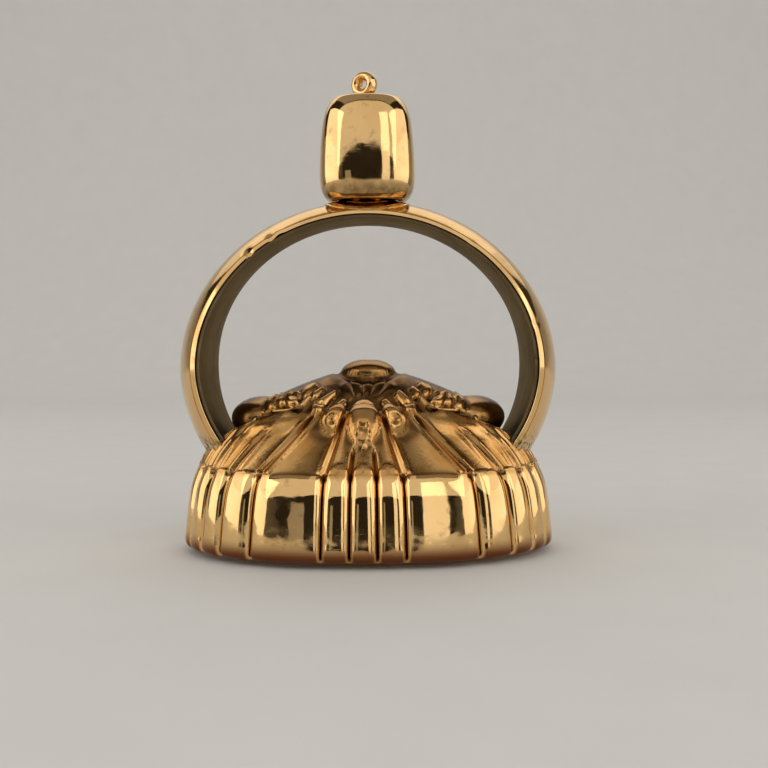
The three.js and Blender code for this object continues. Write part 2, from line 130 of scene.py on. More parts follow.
def loft(name, rings, marks=None, fill_ends=False):
    """A circle extruded once per ring, each vertex then set in its place. Rings that
    fall together are merged, so a point closes an end and a repeated ring a loop."""
    rings = np.asarray(rings)
    count, around = rings.shape[:2]
    bpy.ops.object.select_all(action="DESELECT")
    bpy.ops.mesh.primitive_circle_add(vertices=around, radius=1)
    piece = bpy.context.object
    piece.name = piece.data.name = name
    set_mode("EDIT")
    bpy.ops.mesh.select_all(action="SELECT")
    for _ in range(count - 1):
        bpy.ops.mesh.extrude_edges_move(TRANSFORM_OT_translate={"value": (0, 0, 1)})
    set_mode("OBJECT")
    mesh = piece.data
    at = np.empty(len(mesh.vertices) * 3)
    mesh.vertices.foreach_get("co", at)
    at = at.reshape(-1, 3)
    row = np.rint(at[:, 2]).astype(int)
    turn = np.arctan2(at[:, 1], at[:, 0])
    spoke = np.rint(turn * around / (2 * math.pi)).astype(int) % around
    mesh.vertices.foreach_set("co", (rings[row, spoke] * MM).ravel())
    for mark, values in (marks or {}).items():
        layer = mesh.attributes.new(mark, "FLOAT", "POINT")
        layer.data.foreach_set("value", values[row, spoke].astype(np.float32))
    if fill_ends:
        for end in (0, count - 1):
            for k, vertex in enumerate(mesh.vertices):
                vertex.select = bool(row[k] == end)
            set_mode("EDIT")
            bpy.ops.mesh.edge_face_add()
            bpy.ops.mesh.select_all(action="DESELECT")
            set_mode("OBJECT")
    set_mode("EDIT")
    bpy.ops.mesh.select_all(action="SELECT")
    bpy.ops.mesh.remove_doubles(threshold=MERGE_WITHIN)
    bpy.ops.mesh.normals_make_consistent(inside=False)
    set_mode("OBJECT")
    return piece


def smooth(piece, angle=50):
    bpy.ops.object.select_all(action="DESELECT")
    bpy.context.view_layer.objects.active = piece
    piece.select_set(True)
    bpy.ops.object.shade_smooth_by_angle(angle=math.radians(angle))


def apply_modifier(piece, kind, **settings):
    bpy.ops.object.select_all(action="DESELECT")
    bpy.context.view_layer.objects.active = piece
    piece.select_set(True)
    modifier = piece.modifiers.new(kind.title(), kind)
    for setting, value in settings.items():
        setattr(modifier, setting, value)
    bpy.ops.object.modifier_apply(modifier=modifier.name)


# ---- cap ----

SPOKE_COUNT = 640
FLUTE_CROWD, FLUTE_CROWD_WIDTH = 4, 1.3


def cap_spokes(count):
    """Angles round the cap, crowded at the flutes, the same in all four quarters."""
    fine = np.linspace(0, 90, 3601)
    crowd = 1 + sum(FLUTE_CROWD * np.exp(-((fine - f) / FLUTE_CROWD_WIDTH) ** 2) for f in FLUTES)
    travel = np.concatenate([[0], np.cumsum((crowd[1:] + crowd[:-1]) / 2)])
    quarter = np.interp(np.linspace(0, travel[-1], count // 4 + 1), travel, fine)[:-1]
    back = 180 - quarter[::-1]
    half = np.concatenate([quarter, [90], back[:-1]])
    return np.concatenate([half, half + 180])


SPOKES = cap_spokes(SPOKE_COUNT)
SPOKE_T = np.radians(SPOKES)
FOLDED = 90 - np.abs(90 - SPOKES % 180)
IN_WIDE_PANEL = (FOLDED > WIDE_FROM) & (FOLDED < WIDE_TO)

# Skirt: how far in from the widest outline, and height, from the rim up to the crest.
SKIRT_ROWS = [
    (0.74, 0.42), (0.66, 0.37), (0.52, 0.36), (0.38, 0.37), (0.25, 0.43), (0.12, 0.54),
    (0.04, 0.7), (0, 0.9), (0.02, 1.2), (0.055, 1.6), (0.1, 2.1), (0.15, 2.6), (0.205, 3.1),
    (0.275, 3.6), (0.35, 4.05), (0.43, 4.45), (0.53, 4.8), (0.66, 5.15), (0.79, 5.46),
]
CREST_IN, CREST_Z = 0.94, 5.72

# Ledge at the top of the shoulder: turn of each skirt angle, and height at that turn.
LEDGE_A, LEDGE_B, LEDGE_ROUNDNESS = 9.9, 4.8, 2.3
LEDGE_TURNS = [(0, 0), (7, 19.6), (20, 36.4), (31.3, 46), (42.5, 61), (WIDE_FROM, 74.7),
               (67, 79.8), (WIDE_TO, 84.9), (86.7, 88.7), (90, 90)]
LEDGE_HEIGHTS = [(0, 7.3), (19.6, 7.95), (36.4, 8.7), (46, 9.12), (61, 9.45), (74.7, 9.6),
                 (85, 9.5), (90, 9.45)]
# How far the shoulder bulges over a straight slope, by angle round the skirt.
SHOULDER_BULGE = [(0, 0.42), (30, 0.4), (44, 0.16), (58, 0), (90, 0)]

# The ledge's inner edge: how far in each ring lies and how far it drops. The edge drops
# where EDGE_LIP is 1, by turn, and slopes up into the dome where it is 0.
EDGE_DROPS = [(0.1, -0.03), (0.19, 0.03), (0.27, 0.16), (0.36, 0.26), (0.48, 0.3)]
EDGE_LIP = [(0, 1), (66, 1), (75, 0), (90, 0)]
EDGE_SLOPE = 0.44

# Dome: half-widths, height at the ends and height at the front.
DOME_ROUNDNESS = 2.1
DOME_ROWS = [
    (9.25, 4.12, 7.75, 9.75), (8.9, 3.74, 8.6, 10.1), (8.2, 3.35, 9.4, 10.5),
    (7.1, 2.95, 10.15, 10.85), (5.8, 2.5, 10.8, 11.2), (4.5, 2.1, 11.35, 11.5),
    (3.2, 1.65, 11.82, 11.82), (1.9, 1.05, 12.2, 12.15), (0.6, 0.35, 12.4, 12.4),
]


# Rings in each stretch of the cap, and the share of the shoulder at each ring: below 0 on
# the skirt, 0 to 1 up the shoulder, then one number each for the edge and the dome.
SKIRT_RINGS, NAIL_RINGS, SHOULDER_RINGS, DOME_RINGS = 27, 18, 20, 66
NAIL_SHARE = 0.28
ON_SKIRT, ON_EDGE, ON_DOME = -1, 2, 3


def cap_outside():
    """Base surface of the cap from rim to top, and the shoulder share of each ring."""
    side_x, side_y = np.sign(np.cos(SPOKE_T)), np.sign(np.sin(SPOKE_T))
    rings, shares = [], []
    for inset, z in smooth_rows(SKIRT_ROWS, SKIRT_RINGS):
        rings.append(ring_of(SKIRT_A - inset, SKIRT_B - inset, z, SPOKE_T, PLAN_ROUNDNESS))
        shares.append(ON_SKIRT)
    crest = ring_of(SKIRT_A - CREST_IN, SKIRT_B - CREST_IN, CREST_Z, SPOKE_T, PLAN_ROUNDNESS)
    turn = np.interp(FOLDED, *zip(*LEDGE_TURNS))
    ledge_x, ledge_y = oval(LEDGE_A, LEDGE_B, LEDGE_ROUNDNESS, np.radians(turn))
    ledge_z = np.interp(turn, *zip(*LEDGE_HEIGHTS))
    ledge = np.stack([ledge_x * side_x, ledge_y * side_y, ledge_z], axis=1)
    for share in np.concatenate([np.linspace(0, NAIL_SHARE, NAIL_RINGS)[:-1],
                                 np.linspace(NAIL_SHARE, 1, SHOULDER_RINGS)]):
        rings.append(crest + (ledge - crest) * share)
        shares.append(share)
    lip = np.interp(turn, *zip(*EDGE_LIP))
    for inset, drop in EDGE_DROPS:
        ring = ledge.copy()
        ring[:, 0] *= 1 - inset / LEDGE_A
        ring[:, 1] *= 1 - inset / LEDGE_B
        ring[:, 2] += (1 - lip) * inset * EDGE_SLOPE - drop * lip
        rings.append(ring)
        shares.append(ON_EDGE)
    rise = np.abs(np.sin(np.radians(turn))) ** 2.5
    for a, b, end_z, front_z in smooth_rows(DOME_ROWS, DOME_RINGS, 1.2):
        x, y = oval(a, b, DOME_ROUNDNESS, np.radians(turn))
        z = end_z + (front_z - end_z) * rise
        rings.append(np.stack([x * side_x, y * side_y, z], axis=1))
        shares.append(ON_DOME)
    return np.array(rings), np.array(shares, float)


def surface_normals(grid):
    """Unit normals of a grid of rings, outwards."""
    along = np.roll(grid, -1, axis=1) - np.roll(grid, 1, axis=1)
    up = np.gradient(grid, axis=0)
    normal = np.cross(along, up)
    return normal / np.maximum(np.linalg.norm(normal, axis=2, keepdims=True), 1e-9)


def blurred(field, passes):
    """The field averaged with its neighbours, passes times over."""
    for _ in range(passes):
        field = (np.roll(field, 1, axis=1) + 2 * field + np.roll(field, -1, axis=1)) / 4
        padded = np.pad(field, ((1, 1), (0, 0)), mode="edge")
        field = (padded[:-2] + 2 * padded[1:-1] + padded[2:]) / 4
    return field


def arc_from_flutes(grid):
    """Distance in millimetres along its ring from each vertex to each flute, and the
    place of each vertex across its panel, from -1 to 1."""
    steps = np.linalg.norm(np.roll(grid, -1, axis=1) - grid, axis=2)
    arcs = np.concatenate([np.zeros((len(grid), 1)), np.cumsum(steps, axis=1)[:, :-1]], axis=1)
    quarter = FOLDED[: len(SPOKES) // 4 + 1]
    edges = np.concatenate([[-FLUTES[0]], FLUTES, [180 - FLUTES[-1]]])
    panel = np.searchsorted(edges, FOLDED, side="right") - 1
    distances, across, half_widths = [], [], []
    for arc in arcs:
        along = arc[: len(quarter)] - arc[0]
        local = np.interp(FOLDED, quarter, along)
        spots = np.interp(FLUTES, quarter, along)
        past_front = 2 * np.interp(90, quarter, along) - spots[-1]
        bounds = np.concatenate([[-spots[0]], spots, [past_front]])
        low, high = bounds[panel], bounds[panel + 1]
        distances.append(np.abs(local[:, None] - spots[None, :]))
        across.append(2 * (local - low) / (high - low) - 1)
        half_widths.append((high - low) / 2)
    return np.array(distances), np.array(across), np.array(half_widths)


def bump(x, z, centre, half_width, half_length, height, power=0.5):
    """A rounded leaf."""
    u, v = (x - centre[0]) / half_width, (z - centre[1]) / half_length
    return height * np.clip(1 - u**2 - v**2, 0, 1) ** power


def drop(x, z, head, tail, radius, height, dimple=0.0):
    """A rounded drop from head to tail, narrower at its tail, its head dimpled or not."""
    (hx, hz), (tx, tz) = head, tail
    ux, uz = tx - hx, tz - hz
    along = np.clip(((x - hx) * ux + (z - hz) * uz) / (ux * ux + uz * uz), 0, 1)
    away = np.hypot(x - hx - along * ux, z - hz - along * uz)
    edge = away / (radius * (1 - 0.5 * along))
    body = height * (1 - 0.2 * along) * np.clip(1 - edge**2, 0, 1) ** 0.55
    heart = np.hypot(x - hx - 0.12 * ux, z - hz - 0.12 * uz) / (0.42 * radius)
    return body - dimple * np.exp(-(heart**2)) * (body > 0)


def ridge_along(x, z, points, half_width, height):
    """A rounded ridge that follows a line of points."""
    best = np.full_like(x, np.inf)
    for (ax, az), (bx, bz) in zip(points[:-1], points[1:]):
        ux, uz = bx - ax, bz - az
        along = np.clip(((x - ax) * ux + (z - az) * uz) / (ux * ux + uz * uz), 0, 1)
        best = np.minimum(best, np.hypot(x - ax - along * ux, z - az - along * uz))
    return height * np.exp(-((best / half_width) ** 2))


# Drops and scroll ends of the crown: head and tail as distance from the middle and
# height, then radius, height and dimple.
CROWN_DROPS = [
    ((2.15, 8.98), (1.35, 10.0), 0.66, 0.52, 0.34),
    ((2.98, 9.8), (2.1, 10.6), 0.44, 0.52, 0.26),
    ((3.3, 10.5), (2.95, 10.9), 0.32, 0.46, 0),
    ((3.95, 10.8), (3.55, 11.15), 0.44, 0.38, 0),
    ((4.75, 10.3), (4.65, 10.45), 0.66, 0.72, 0.42),
    ((5.5, 10.05), (5.4, 10.4), 0.36, 0.5, 0),
    ((6.2, 9.9), (6.0, 10.25), 0.52, 0.58, 0.06),
    ((7.35, 9.4), (7.0, 9.7), 0.38, 0.42, 0),
]


# Lines of the crown, as distance from the middle and height: the scroll's stem, the
# crease over the first drop, and the cut channel under the scroll.
SCROLL_STEM = [(7.0, 9.4), (6.3, 9.5), (4.95, 9.58), (4.15, 9.9), (3.75, 10.4)]
LEAF_CREASE = [(3.3, 9.45), (2.75, 9.95), (2.4, 10.6)]
CHANNEL = [(3.5, 10.1), (4.0, 9.5), (4.9, 9.08), (6.0, 8.98), (7.1, 8.85)]


def crown_relief(x, z):
    """Scrolls, leaves and drops of the crown, by distance from the middle and height."""
    relief = ridge_along(x, z, SCROLL_STEM, 0.16, 0.3)
    relief = np.maximum(relief, ridge_along(x, z, LEAF_CREASE, 0.1, 0.14))
    for head, tail, radius, height, dimple in CROWN_DROPS:
        relief = np.maximum(relief, drop(x, z, head, tail, radius, height, dimple))
    return relief - ridge_along(x, z, CHANNEL, 0.2, 0.12)


FAN_Z, FAN_HEIGHT, FAN_PITCH = 9.3, 0.12, 19


def fan_relief(x, z):
    """Bars that fan out under the boss, one to every FAN_PITCH degrees."""
    r = np.hypot(x, z - FAN_Z)
    turn = np.degrees(np.arctan2(x, z - FAN_Z))
    bars = np.abs(np.cos(np.radians(turn * 180 / FAN_PITCH))) ** 0.6
    window = step(r, 1.25, 1.5) * step(-r, -2.9, -2.5) * step(-turn, -52, -44)
    return FAN_HEIGHT * (bars - 0.35) * window


def out_of_ball(points, normals, centre, radii):
    """How far out along the normals a point must go to reach an oval ball's surface."""
    p = (points - centre) / radii
    n = normals / radii
    a = (n * n).sum(axis=2)
    b = (p * n).sum(axis=2)
    c = (p * p).sum(axis=2) - 1
    root = b * b - a * c
    reach = (-b + np.sqrt(np.maximum(root, 0))) / a
    close_by = (root > 0) & (c < 1.0) & (-b / a < 0.8)
    return np.where(close_by, np.clip(reach, 0, 1.9), 0)


def soft_max(a, b, blend):
    """The greater of a and b, with a rounded change-over."""
    return 0.5 * (a + b + np.sqrt((a - b) ** 2 + blend * blend)) - 0.5 * blend


# Tongue at the front: middle, half-width, half-length and height; then the toes at its
# foot and the pits in it, each at x and height, the pits with a radius.
TONGUE_AT, TONGUE_HALF, TONGUE_LENGTH, TONGUE_HEIGHT = (0, 8.95), 1.06, 1.4, 0.56
TOES = [(-0.45, 7.82), (0.02, 7.62), (0.42, 7.9)]
TOE_HALF, TOE_LENGTH, TOE_HEIGHT = 0.2, 0.4, 0.3
TONGUE_PITS = [(-0.16, 8.5, 0.14), (0.12, 8.38, 0.17), (-0.42, 8.2, 0.11), (0.26, 8.62, 0.08),
               (-0.3, 8.66, 0.07), (0.36, 8.1, 0.09), (-0.08, 8.05, 0.11), (0.06, 8.68, 0.07)]
PIT_DEPTH = 0.24

# Oval balls that stand out of the cap: centre and radii.
END_LUMP_X, END_LUMP_Z, END_LUMP_RADII = 7.35, 9.05, (2.15, 2.6, 1.5)
BOSS_Z, BOSS_RADII = 12.12, (1.9, 1.8, 0.95)
BOSS_GROOVE_A, BOSS_GROOVE_B, BOSS_GROOVE_DEPTH = 1.92, 1.82, 0.14

# Skirt: how far each flute's rounded edges reach into its panels, the depths of the
# rounded cut and of the slit in it, and how far the panels swell.
FLUTE_REACH = np.array([0.2, 0.21, 0.22, 0.23, 0.25, 0.21, 0.2])
FLUTE_DEPTH, SLIT_DEPTH, SLIT_HALF = 0.31, 0.1, 0.08
PANEL_SWELL = 0.13
RIM_Z = 0.3

# Shoulder, for each flute: the share at which its vee ends, and its half-width at the foot.
VEE_END = np.array([1.02, 1.02, 1.02, 0.76, 1.02, 1.02, 0.5])
VEE_HALF = np.array([0.34, 0.34, 0.36, 0.36, 0.36, 0.3, 0.24])
VEE_NARROWING = 0.42
VEE_DEPTH, VEE_PIT = 0.26, 0.22
BEAD_HEIGHT, BEAD_PLACE, BEAD_WIDTH = 0.09, 1.3, 0.14


def by_panel(wide, narrow, other):
    """A value for the wide panel, the narrow front panels and the others."""
    return np.where(IN_WIDE_PANEL, wide, np.where(FOLDED > WIDE_TO, narrow, other))[None, :]


def skirt_relief(z, distance, swell):
    """Swelling panels with cut flutes that run out to a point at the rim."""
    reach = FLUTE_REACH * (0.6 + 0.4 * step(z, RIM_Z, 1.9)[..., None])
    slit = np.clip(1 - distance / SLIT_HALF, 0, 1)
    cut = (FLUTE_DEPTH * np.exp(-distance / reach) + SLIT_DEPTH * slit).max(axis=2)
    return swell * step(z, RIM_Z, 0.7) - step(z, RIM_Z, 0.62) * cut


def shoulder_relief(grid, shares, share, distance, across, swell):
    """Dished panels between paired ribs, with rounded nails at their feet."""
    up = np.clip(share, 0, 1)
    run = up * np.linalg.norm(grid[shares == 1][0] - grid[shares == 0][0], axis=1)[None, :]
    nail = by_panel(0.1, 0.95, 0.3) * np.clip(1 - np.abs(across) ** 1.5, 0, 1)
    on_nail = step(nail - run, -0.14, 0.04)
    top_fade = np.where(IN_WIDE_PANEL, step(-share, -1, -0.72), step(-share, -0.86, -0.6))
    dish = -by_panel(0.42, 0.14, 0.16) * np.clip(1 - np.abs(across) ** 2.2, 0, 1) * top_fade
    panel = on_nail * np.maximum(swell, 0.05) + (1 - on_nail) * dish
    vee_half = VEE_HALF * (1 - VEE_NARROWING * up[..., None])
    vee = np.clip(1 - distance / vee_half, 0, 1)
    vee_fade = step(-share[..., None], -VEE_END, -VEE_END + 0.14)
    beads = BEAD_HEIGHT * np.exp(-(((distance - vee_half * BEAD_PLACE) / BEAD_WIDTH) ** 2))
    beads *= step(run, 0.1, 0.5)[..., None]
    pit = VEE_PIT * np.exp(-((run[..., None] / 0.2) ** 2))
    ribs = (vee_fade * (beads - (VEE_DEPTH + pit) * vee)).sum(axis=2)
    bulge = np.interp(FOLDED, *zip(*SHOULDER_BULGE))[None, :]
    return panel + ribs + bulge * 4 * up * (1 - up)


def cap_relief(grid, shares, normals):
    """Height of the whole relief over the base surface, along its normals."""
    distance, across, half = arc_from_flutes(grid)
    share = np.repeat(shares[:, None], len(SPOKES), axis=1)
    x, y, z = grid[..., 0], grid[..., 1], grid[..., 2]
    out_x = np.abs(x)
    squareness = 2.3 * np.clip(half / 0.9, 1, 3) ** 0.85
    swell = np.clip(1 - np.abs(across) ** squareness, 0, 1)
    swell = PANEL_SWELL * np.clip(half / 1.2, 0, 1) * swell
    skirt = skirt_relief(z, distance, swell)
    shoulder = shoulder_relief(grid, shares, share, distance, across, swell)
    relief = np.where(share < 0, skirt, np.where(share <= 1, shoulder, 0))

    # The crown's drops hang over the ledge, and the fan and boss stand on the dome.
    over_ledge = step(share, 0.9, 1.25)
    drop_zone = step(share, 0.5, 0.8) * step(-out_x, -3.7, -3.3)
    relief = relief + crown_relief(out_x, z) * np.maximum(over_ledge, drop_zone)
    relief = relief + fan_relief(out_x, z) * step(share, 1.5, ON_EDGE)
    tongue = bump(out_x, z, TONGUE_AT, TONGUE_HALF, TONGUE_LENGTH, TONGUE_HEIGHT, 0.42)
    for toe_at in TOES:
        tongue = np.maximum(tongue, bump(x, z, toe_at, TOE_HALF, TOE_LENGTH, TOE_HEIGHT))
    relief = np.where(tongue > 0, soft_max(relief, tongue, 0.05), relief)
    for side in (-1, 1):
        centre = np.array([END_LUMP_X * side, 0, END_LUMP_Z])
        ball = out_of_ball(grid, normals, centre, np.array(END_LUMP_RADII))
        relief = np.where(ball > 0, soft_max(relief, ball, 0.12), relief)
    boss = out_of_ball(grid, normals, np.array([0, 0, BOSS_Z]), np.array(BOSS_RADII))
    round_boss = np.hypot(x / BOSS_GROOVE_A, y / BOSS_GROOVE_B)
    groove = BOSS_GROOVE_DEPTH * np.exp(-(((round_boss - 1.12) / 0.12) ** 2))
    relief = relief - groove * step(share, ON_EDGE, ON_DOME)
    relief = np.where(boss > 0, soft_max(relief, boss, 0.06), relief)
    for pit_x, pit_z, size in TONGUE_PITS:
        away = np.hypot(x - pit_x, z - pit_z) / size
        relief = relief - np.where(y < 0, PIT_DEPTH, 0.0) * np.exp(-(away**2))
    return relief


def cap_marks(outside, relief, share):
    """Where the gold's colour and finish change on the cap, 0 to 1 at each vertex: tarnish and
    painted shade in hollows sunk between higher relief, satin above the skirt that also carries
    painted shade, painted shade on the crown's ground, its end lumps, the shoulder's slopes and
    the dome's top, and painted darker reddish shade at the rim."""
    height, out_x = outside[..., 2], np.abs(outside[..., 0])
    # Tarnish and painted shade in the hollows: how far each vertex lies below the relief round it.
    hollow_tarnish_and_shade = np.clip((blurred(relief, 24) - relief) / 0.12, 0, 1)
    slope_shade = step(share, 0.3, 0.95) * np.where(IN_WIDE_PANEL, 0.5, 0.3)
    # Painted shade: darker colour on the crown's ground between its raised ornaments, on the end
    # lumps under the arch, on the shoulder's dished slopes and over the dome's top.
    painted_shade = np.maximum.reduce([
        step(share, 1, 2.2) * step(-blurred(relief, 2), -0.32, -0.02),
        0.92 * step(out_x, 6.6, 8.0) * step(share, 1.5, 2.5),
        slope_shade * step(-relief, -0.2, 0.05),
        0.62 * step(height, 11.3, 12.0),
    ])
    # Painted shade: the skirt's panels turn darker and redder towards the rim.
    rim_shade = 0.95 * step(-height, -1.8, -0.7) * step(relief, -0.1, 0.02)
    return {"hollow_tarnish_and_shade": hollow_tarnish_and_shade, "satin": step(share, -0.9, 0.3), "painted_shade": painted_shade, "rim_shade": rim_shade}


# Hollow inside of the cap, hidden by the filler: half-widths and height, from its top.
INSIDE_TOP = 11.6
INSIDE_ROWS = [(1.2, 0.8, 11.5), (4.2, 1.7, 10.4), (7.0, 2.6, 8.4), (9.0, 4.2, 6.9),
               (10.4, 5.8, 5.3), (11.0, 6.7, 4.6), (11.6, 7.2, 3.2), (11.8, 7.44, 1.3)]
ORNAMENT_LEFT = 0.22


def build_cap():
    """The cap, and the base surface that the arch's feet are trimmed to."""
    grid, shares = cap_outside()
    normals = surface_normals(grid)
    relief = cap_relief(grid, shares, normals)
    outside = grid + normals * relief[..., None]
    # The front's ornament sits a little to the left of the middle.
    left = ORNAMENT_LEFT * np.clip(1 - (outside[..., 0] / SKIRT_A) ** 2, 0, 1)
    left = left * step(-outside[..., 2], -11.2, -10.2)
    outside[..., 0] -= left * step(-outside[..., 1], 0, 2)
    inside = [point_ring(0, 0, INSIDE_TOP, SPOKES)]
    inside += [ring_of(a, b, z, SPOKE_T, PLAN_ROUNDNESS) for a, b, z in INSIDE_ROWS]
    top = point_ring(0, 0, outside[-1, :, 2].mean(), SPOKES)
    rings = np.concatenate([inside, outside, [top]])
    before, after = np.zeros((len(inside), len(SPOKES))), np.zeros((1, len(SPOKES)))
    share = np.repeat(shares[:, None], len(SPOKES), axis=1)
    marks = {name: np.concatenate([before, field, after])
             for name, field in cap_marks(outside, relief, share).items()}
    return loft("fluted_cap", rings, marks), grid


# ---- arch ----

ARCH_STATIONS = 240


def rounded_rise(s):
    """Nearly 0 below 0 and nearly s above it, without a corner between."""
    return (s + math.hypot(s, 0.08)) / 2


def arch_frame(angle):
    """Inner-face point and outward direction of the arch, with its section sizes."""
    c, s = math.cos(angle), math.sin(angle)
    height = ARCH_RISE if s > 0 else ARCH_DROP
    out = np.array([c / ARCH_HALF, 0, s / height])
    out /= np.linalg.norm(out)
    up, down = rounded_rise(s), rounded_rise(-s) / math.sin(-ARCH_FOOT)
    return {
        "at": np.array([ARCH_HALF * c, 0, ARCH_CENTRE + height * s]),
        "out": out,
        "half": (BAND_WIDTH - BAND_LESS_AT_TOP * up - BAND_LESS_AT_FEET * down) / 2,
        "edge": SHELL_EDGE - EDGE_LESS_AT_TOP * up,
        "crown": SHELL_CROWN - CROWN_LESS_AT_TOP * up,
    }


def arch_rings(section, stations):
    """The section's rings from foot to foot, over the top."""
    sweep = math.pi - 2 * ARCH_FOOT
    rings = []
    for angle in np.linspace(ARCH_FOOT, ARCH_FOOT + sweep, stations):
        place = arch_frame(angle)
        out, across = section(place, angle)
        rings.append(place["at"] + np.outer(out, place["out"]) + np.outer(across, [0, 1, 0]))
    return rings


# Dents in the front rim of the shell: place round the arch in degrees, width and depth.
RIM_DENTS = [(124.5, 1.0, 0.1), (133.5, 1.3, 0.12), (121.0, 1.1, -0.07), (52, 1.6, 0.03),
             (15, 1.2, 0.04)]
# The rim, from the shell's edge in to the liner: share of its height, and a last turn-in.
RIM_SHARES = np.array([0.94, 0.85, 0.72, 0.56, 0.38, 0.2, 0.08, 0.02, 0])
RIM_TURN_IN = np.array([0, 0, 0, 0, 0, 0, 0, 0.03, 0.1])
RIM_LEAN, RIM_LEAN_LESS_AT_TOP = 0.62, 0.32


def shell_section(place, angle):
    """Half-round outside, leaning rims front and back, and the hollow side."""
    half, edge, crown = place["half"], place["edge"], place["crown"]
    turn = math.degrees(angle)
    dent = sum(depth * math.exp(-(((turn - at) / width) ** 2)) for at, width, depth in RIM_DENTS)
    u = np.sin(np.linspace(-math.pi / 2, math.pi / 2, 25))
    out = edge + crown * (1 - np.abs(u) ** SHELL_ROUNDNESS)
    across = u * half
    foot = LINER + SEAM
    rim_out = foot + (edge - foot) * RIM_SHARES
    lean = RIM_LEAN - RIM_LEAN_LESS_AT_TOP * max(math.sin(angle), 0)
    rim_across = half - 0.06 + lean * (edge - foot) * (1 - RIM_SHARES**1.2) - RIM_TURN_IN
    inner_u = np.linspace(1, -1, 17)
    inner_out = foot + (edge + crown - SHELL_WALL - foot) * (1 - inner_u**2) ** 0.7
    inner_across = inner_u * (half - SHELL_WALL)
    outs = np.concatenate([out, rim_out, inner_out, rim_out[::-1]])
    acrosses = np.concatenate([across, rim_across, inner_across, -rim_across[::-1]])
    front = np.clip((-acrosses - half + 0.5) / 0.5, 0, 1)
    return outs - dent * front, acrosses + abs(dent) * 0.4 * front


# The notch in the liner's front edge: place round the arch in degrees, width and depth.
NOTCH_AT, NOTCH_WIDTH, NOTCH_DEPTH = 2.0, 0.7, 0.12
LINER_OUTS = np.array([0.06, 0.02, 0, 0, 0, 0, 0, 0.02, 0.06, 0.13, LINER, LINER, LINER, 0.13])
LINER_FRONT = np.array([1, 1, 0.8, 0, 0, 0, 0, 0, 0, 0, 0, 0, 1, 1])


def liner_section(place, angle):
    """A flat strip with rounded edges."""
    half = place["half"] - 0.08
    notch = NOTCH_DEPTH * math.exp(-(((math.degrees(angle) - NOTCH_AT) / NOTCH_WIDTH) ** 2))
    acrosses = np.array([-half + 0.03, -half + 0.07, -half + 0.14, -half / 2, 0, half / 2,
                         half - 0.14, half - 0.07, half - 0.03, half, half, 0, -half, -half])
    return LINER_OUTS, acrosses + notch * LINER_FRONT


FEET_DEPTH = 0.12  # how far the arch's feet sink into the cap


def build_arch(cap_base):
    """The shell and its liner, their feet trimmed to the cap's base surface."""
    shell = loft("arch_shell", arch_rings(shell_section, ARCH_STATIONS), fill_ends=True)
    liner = loft("arch_liner", arch_rings(liner_section, ARCH_STATIONS), fill_ends=True)
    trim_rings = (cap_base - surface_normals(cap_base) * FEET_DEPTH)[::2, ::8]
    low = point_ring(0, 0, 0.5, trim_rings[0])
    high = point_ring(0, 0, DOME_TOP - 0.1, trim_rings[0])
    trim = loft("trim", np.concatenate([[low], trim_rings, [high]]))
    for piece in (shell, liner):
        apply_modifier(piece, "BOOLEAN", operation="DIFFERENCE", object=trim, solver="EXACT")
    bpy.data.objects.remove(trim, do_unlink=True)
    return shell, liner


# ---- knop, collar and eye ----

TURNED_SPOKES = 96
KNOP_ROWS = 46
KNOP_CLEARANCE = 0.16  # least height of the knop's lower edge over the arch
# The recess under the knop, round the collar's neck: half-widths and height.
RECESS = [(0.66, 0.66, KNOP_FOOT + 0.36, 2), (0.66, 0.66, KNOP_FOOT, 2),
          (1.97, 1.52, KNOP_FOOT, 2.1), (2.0, 1.55, KNOP_FOOT - 0.2, 2.1)]
# The hole in the knop's top, with its dished edge: radius and depth under the top.
HOLE_ROWS = [(0.8, 0.0), (0.6, 0.04), (0.46, 0.1), (0.38, 0.14), (0.38, 0.42)]


def build_knop():
    """The squarish knop, shut round the collar's neck and dished round the eye's stem."""
    angles = even_angles(TURNED_SPOKES)
    rings = [point_ring(0, 0, RECESS[0][2], angles)]
    rings += [ring_of(a, b, z, angles, roundness) for a, b, z, roundness in RECESS]
    for a, z in smooth_rows(KNOP_OUTLINE, KNOP_ROWS):
        ring = ring_of(a, a * KNOP_DEPTH, KNOP_FOOT + z, angles, KNOP_ROUNDNESS)
        lowest = arch_top(ring[:, 0], ring[:, 1]) + KNOP_CLEARANCE
        ring[:, 2] = np.maximum(ring[:, 2], lowest)
        rings.append(ring)
    top = KNOP_FOOT + KNOP_TOP
    for r, depth in HOLE_ROWS:
        ring = ring_of(r, r, top - depth, angles, 2)
        ring[:, 0] += EYE_X
        rings.append(ring)
    rings.append(point_ring(EYE_X, 0, top - HOLE_ROWS[-1][1], angles))
    return loft("knop", rings)


def arch_top(x, y):
    """Height of the arch's outside above a plan point near its top."""
    half = (BAND_WIDTH - BAND_LESS_AT_TOP) / 2
    edge, crown = SHELL_EDGE - EDGE_LESS_AT_TOP, SHELL_CROWN - CROWN_LESS_AT_TOP
    out = edge + crown * (1 - np.clip(np.abs(y) / half, 0, 1) ** SHELL_ROUNDNESS)
    span = 1 - (x / (ARCH_HALF + out)) ** 2
    return ARCH_CENTRE + (ARCH_RISE + out) * np.sqrt(span)


# Collar: its plan, then rows of its foot (share of that plan, height over the arch) and
# of its neck (share of that plan, share of the way from the neck's start to the knop).
COLLAR_A, COLLAR_B, COLLAR_ROUNDNESS = 2.98, 2.25, 2.1
COLLAR_FOOT = [(0.5, -0.1), (0.9, -0.02), (0.99, 0.0), (1.0, 0.05), (0.98, 0.1), (0.92, 0.12),
               (0.76, 0.12), (0.66, 0.14)]
COLLAR_NECK = [(0.63, 0.2), (0.62, 0.7), (0.61, 1.0), (0.4, 1.0)]
NECK_START = 0.28


